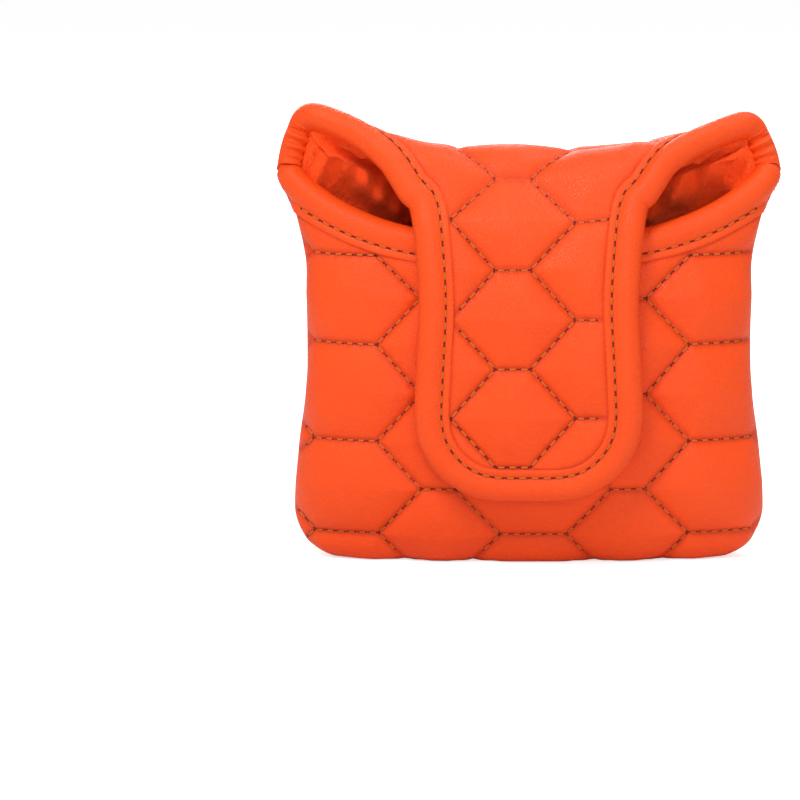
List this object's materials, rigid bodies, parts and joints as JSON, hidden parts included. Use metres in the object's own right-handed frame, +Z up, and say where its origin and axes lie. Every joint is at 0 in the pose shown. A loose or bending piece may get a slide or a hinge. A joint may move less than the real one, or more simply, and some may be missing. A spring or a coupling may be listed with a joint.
{
  "type": "putter head cover",
  "caption": "Quilted leather sleeve for a mallet putter head: padded pouch with two pointed ears, fleece lining and a hooded flap that closes over the back with hidden magnets",
  "frame": {"origin": "centre of the flat patch that the pouch stands on, on the side seams' plane", "axes": "+Z up, X from ear to ear, +Y out of the plain quilted face, -Y out of the flap"},
  "size_m": [0.1384, 0.0529, 0.126],
  "materials": {
    "leather": "orange-red fine-grained leather",
    "binding_leather": "orange-red smooth leather tape, rolled",
    "foam": "soft foam padding",
    "fleece": "orange plush fleece",
    "filler": "twisted cotton filler cord",
    "thread": "waxed brown-orange thread",
    "magnet": "nickel-plated disc",
    "sleeve": "woven cloth"
  },
  "bodies": {
    "pouch": {"back_lining": "fleece", "back_lip_binding": "binding_leather", "back_lip_binding_thread": "thread", "back_lip_filler": "filler", "back_magnet_left": "magnet", "back_magnet_right": "magnet", "back_magnet_sleeve_left": "sleeve", "back_magnet_sleeve_right": "sleeve", "back_padding": "foam", "back_quilting_thread": "thread", "back_shell": "leather", "ear_binding_thread": "thread", "ear_left_binding": "binding_leather", "ear_left_filler": "filler", "ear_right_binding": "binding_leather", "ear_right_filler": "filler", "front_lining": "fleece", "front_padding": "foam", "front_quilting_thread": "thread", "front_shell": "leather", "hood_left_binding": "binding_leather", "hood_left_filler": "filler", "hood_lining": "fleece", "hood_padding": "foam", "hood_quilting_thread": "thread", "hood_right_binding": "binding_leather", "hood_right_filler": "filler", "hood_shell": "leather", "side_seam_thread": "thread"},
    "flap": {"flap_binding": "binding_leather", "flap_binding_thread": "thread", "flap_filler": "filler", "flap_lining": "fleece", "flap_magnet_left": "magnet", "flap_magnet_right": "magnet", "flap_magnet_sleeve_left": "sleeve", "flap_magnet_sleeve_right": "sleeve", "flap_padding": "foam", "flap_quilting_thread": "thread", "flap_shell": "leather"}
  },
  "joints": [
    {"name": "flap_hinge", "type": "hinge", "parent": "pouch", "child": "flap", "pos_m": [0, 0, 0.1145], "axis": [-1, 0, 0], "range_deg": [0, 135], "deforming": ["hood_left_binding", "hood_left_filler", "hood_lining", "hood_padding", "hood_quilting_thread", "hood_right_binding", "hood_right_filler", "hood_shell"]}
  ]
}
